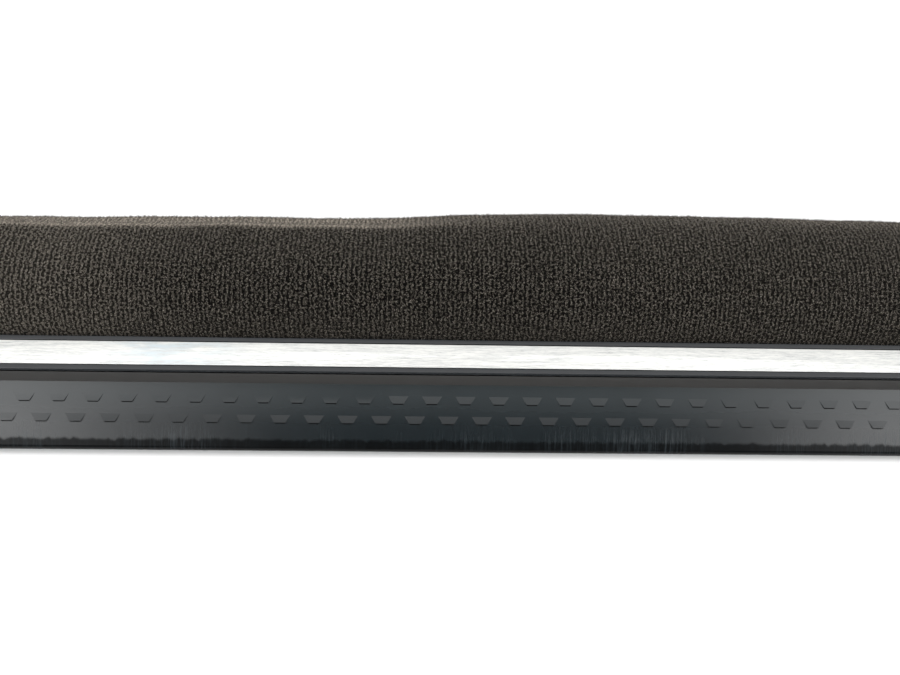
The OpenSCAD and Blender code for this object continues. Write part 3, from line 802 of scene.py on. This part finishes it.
def build_seam(side, name, node, material):
    """Overlocked seam: a padded band with slanted yarns wrapped over the corner and a chain along the
    end panel."""
    softened(node, name, material, "binding_tape", 0.35, 3)
    stitches, bend = 68, 13
    path, normal, tangent = seam_path(stitches)
    corner_x = np.array([-2.3, -1.2, 1.2, 3.4, 4.6, 4.8, 4.6])
    corner_out = np.array([0.45, 1.0, 1.15, 1.0, 0.2, -1.2, -2.6])
    steps = np.linspace(0, 6, bend)
    x = WRAP_HALF + np.interp(steps, range(7), corner_x)
    out = np.interp(steps, range(7), corner_out)
    slant = np.linspace(-0.9, 0.9, bend)
    routes, across = [], []
    for i in range(stitches):
        jitter = RANDOM.normal(0, 0.1)
        depth = path[i, 0] + normal[i, 0] * out + tangent[i, 0] * (slant + jitter)
        height = path[i, 1] + normal[i, 1] * out + tangent[i, 1] * (slant + jitter)
        routes.append(np.stack([side * x * MM, FRONT_Y + depth * MM, height * MM], axis=1))
        across.append((0.0, tangent[i, 0], tangent[i, 1]))
    add_cords(name + "_stitches", routes, across, 0.5 * MM, material, "binding_tape")
    chain = []
    for i in range(stitches - 1):
        share = np.linspace(-0.1, 1.1, 7)
        wave = 0.35 * np.sin(share * math.pi) * (1 if i % 2 else -1)
        inward = -2.7 + wave
        depth = np.interp(share, [0, 1], path[i:i + 2, 0]) + normal[i, 0] * inward
        height = np.interp(share, [0, 1], path[i:i + 2, 1]) + normal[i, 1] * inward
        lift = WRAP_HALF + 4.7 + 0.25 * np.sin(share * math.pi)
        chain.append(np.stack([side * lift * MM, FRONT_Y + depth * MM, height * MM], axis=1))
    add_cords(name + "_chain", chain, [(1.0, 0.0, 0.0)] * len(chain), 0.3 * MM, material, "binding_tape")


def build_hem(tape, yarn):
    """Folded tape over the lower back edge, with a row of lockstitches near its top edge."""
    hem = softened("rear_hem", "hem", tape, "binding_tape", 0.15)
    pitch, length = 3.2, 2.5
    face = HEM_HIGH.y / MM - FRONT_Y / MM
    count = int(2 * (WRAP_HALF - 4) / pitch)
    share = np.linspace(0, 1, 5)
    routes = []
    for i in range(count):
        start = (i - (count - 1) / 2) * pitch - length / 2
        x = start + share * length
        y = face - 0.12 + 0.22 * np.sin(share * math.pi)
        z = HEM_STITCH_HEIGHT + (share - 0.5) * 0.25
        routes.append(np.stack([x * MM, FRONT_Y + y * MM, z * MM], axis=1))
    stitches = add_cords("hem_stitches", routes, [(0.0, 0.0, 1.0)] * count, 0.24 * MM, yarn, "binding_tape")


def build_backing(material):
    """Moulded backing between the pile and the foam."""
    backing = softened("carpet_backing", "backing", material, "backing_felt", 0.1)
    _, _, _, run = wrap_path(100)


def store_pile(piece, across, along, sheen_and_opened):
    """Keeps what the pile's material needs: two distances in millimetres and how far the pile lies open and
    shows painted sheen.
    """
    values = np.stack([across * MM, along * MM, sheen_and_opened], axis=1)
    stored = piece.data.attributes.new("pile", "FLOAT_VECTOR", "POINT")
    stored.data.foreach_set("vector", values.astype(np.float32).reshape(-1))


def sheen_and_open_pile(x, turn):
    """How far the pile lies open and shows lighter as painted sheen: most along the fold on the left, with a
    painted highlight line at its ridge, a little on the rest of the crest, and painted light at the left end."""
    left = 1 / (1 + np.exp((x + 20) / 18))
    behind = 1 / (1 + np.exp((32 - turn) / 4))
    # painted sheen along the left fold and the crest, with a painted highlight line at the fold's ridge
    band = behind / (1 + np.exp((turn - 63) / 2.0))
    crest = behind / (1 + np.exp((turn - 52) / 5))
    edge = np.exp(-(((turn - 62) / 3.0) ** 2))
    # painted light: the left end of the carpet is lightened
    painted_left_light = 0.11 / (1 + np.exp((x + 178) / 14))
    far_right = 1 / (1 + np.exp((165 - x) / 22))
    return left * (band * 0.66 + edge * 0.34) + (1 - left) * crest * (0.14 + 0.26 * far_right) + painted_left_light


# ---- stage ----


def build_camera():
    """A hand-held view from above the front edge."""
    turn, down, roll = math.radians(2.95), math.radians(59.77), math.radians(3.24)
    forward = Vector((math.sin(turn) * math.cos(down), math.cos(turn) * math.cos(down), -math.sin(down)))
    level = Vector((math.cos(turn), -math.sin(turn), 0))
    upright = level.cross(forward)
    right = math.cos(roll) * level + math.sin(roll) * upright
    up = -math.sin(roll) * level + math.cos(roll) * upright
    lens = bpy.data.cameras.new("camera")
    lens.sensor_width = 36
    lens.lens = 32
    lens.clip_start = 0.01
    camera = bpy.data.objects.new("camera", lens)
    place = (-0.0198, -0.22875, 0.4092)
    rows = [(right[i], up[i], -forward[i], place[i]) for i in range(3)]
    camera.matrix_world = Matrix((*rows, (0, 0, 0, 1)))
    bpy.context.scene.collection.objects.link(camera)
    bpy.context.scene.camera = camera


def build_floor():
    """A pale floor just under the board."""
    shader = Shader("floor")
    mottle = shader.noise(shader.position(), scale=3, detail=2)
    shader.set(Base_Color=shader.mix(mottle, (0.90, 0.90, 0.90), (0.93, 0.93, 0.92)), Roughness=0.6)
    size = 6.0
    floor = add_mesh(
        "floor",
        [(-size, -size, 0), (size, -size, 0), (size, size, 0), (-size, size, 0)],
        [(0, 1, 2, 3)],
        shader.material,
        smooth=False,
    )
    floor.location.z = FLOOR_Z - 0.0001


def add_card(name, centre, target, width, height, colour):
    """A flat card that faces a target. The camera doesn't see it, but it shades and is reflected."""
    shader = Shader(name)
    shader.set(Base_Color=colour, Roughness=0.9)
    half, tall = width / 2, height / 2
    card = add_mesh(
        name,
        [(-half, -tall, 0), (half, -tall, 0), (half, tall, 0), (-half, tall, 0)],
        [(0, 1, 2, 3)],
        shader.material,
        smooth=False,
    )
    card.location = centre
    card.rotation_euler = (Vector(target) - Vector(centre)).to_track_quat("Z", "Y").to_euler()
    card.visible_camera = False


def add_light(name, centre, target, width, height, radiance):
    """A rectangular softbox aimed at a target. Its radiance compares with the world's strength."""
    lamp = bpy.data.lights.new(name, "AREA")
    lamp.shape = "RECTANGLE"
    lamp.size, lamp.size_y = width, height
    lamp.energy = radiance * math.pi * width * height
    box = bpy.data.objects.new(name, lamp)
    box.location = centre
    box.rotation_euler = (Vector(target) - Vector(centre)).to_track_quat("-Z", "Y").to_euler()
    bpy.context.scene.collection.objects.link(box)


def build_light():
    """Soft light from both sides and from above, with dark cards for the viewer and the room in front."""
    world = bpy.data.worlds.new("studio")
    world.use_nodes = True
    world.node_tree.nodes["Background"].inputs["Color"].default_value = (1.0, 1.0, 1.0, 1.0)
    world.node_tree.nodes["Background"].inputs["Strength"].default_value = 1.12
    bpy.context.scene.world = world
    add_light("left_box", (-1.4, -0.9, 1.3), (-1.4, -0.9, 0), 1.0, 2.1, 3.2)
    add_light("right_box", (1.5, -0.9, 1.3), (1.5, -0.9, 0), 1.0, 2.1, 3.0)
    add_light("overhead_box", (0, 0.35, 2.0), (0, 0.1, 0), 2.0, 0.5, 3.0)
    add_card("viewer_card", (0.09, -0.82, 1.05), (0.0, 0.0, 0.0), 1.05, 0.75, (0.05, 0.10, 0.12))
    add_card("room_card", (0.05, -1.5, 0.5), (0.05, 0, 0.5), 2.6, 0.95, (0.02, 0.022, 0.025))
    bpy.context.scene.view_settings.view_transform = "Standard"


# ---- the board ----

build_camera()
PLASTIC = moulded_plastic()
CAP = cap_plastic()
RAIL = rail_plastic()
ALUMINIUM = brushed_aluminium()
STEEL = zinc_steel()
YELLOW = yellow_zinc()
RUBBER = rubber()
FOAM = foam()
FELT = backing_felt()
TAPE = foam_tape()
PILE = carpet_pile()
FIBRE = carpet_fibre()
YARN = binding_yarn()
WEBBING = binding_tape()

softened("tread_nosing", "nosing", PLASTIC, "moulded_plastic", 0.08, weld=0.03, crease=7, reshape=mark_painted_shade)
softened("end_cap_left", "cap_left", CAP, "moulded_plastic", 0.5, 3)
softened("end_cap_right", "cap_right", CAP, "moulded_plastic", 0.5, 3)
softened("insert_rail", "rail", RAIL, "rail_plastic", 0.35, 3)
softened("metal_strip", "strip", ALUMINIUM, "brushed_aluminium", 0.12)
softened("rail_clips", "clips", STEEL, "zinc_steel", 0.1)
softened("end_cap_screws", "cap_screws", STEEL, "zinc_steel", 0.25)
softened("base_plate", "plate", STEEL, "zinc_steel", 0.25)
softened("base_screws", "plate_screws", STEEL, "zinc_steel", 0.25)
softened("base_washers", "washers", STEEL, "zinc_steel", 0.12)
softened("rivet_nuts", "nuts", YELLOW, "yellow_zinc", 0.2)
softened("rest_pads", "pads", RUBBER, "pad_rubber", 0.5)
softened("front_seal", "seal", FOAM, "foam", 0.5)
softened("hem_rivets", "push_rivets", RUBBER, "pad_rubber", 0.5, 3)
softened("clamp_batten", "batten", STEEL, "zinc_steel", 0.2)
softened("batten_rivets", "rivets", STEEL, "zinc_steel", 0.4, 3)
softened("strip_tape", "insert_tape", TAPE, "tape", 0.05)
softened("foam_core", "core", FOAM, "foam", 0.8)
build_backing(FELT)
build_carpet(PILE)
build_wrap_fibres(FIBRE)
for side, word in ((-1, "left"), (1, "right")):
    build_end(side, "end_" + word, "carpet_end_" + word, PILE, FIBRE)
    build_seam(side, "seam_" + word, "seam_binding_" + word, YARN)
build_hem(WEBBING, YARN)

build_floor()
build_light()
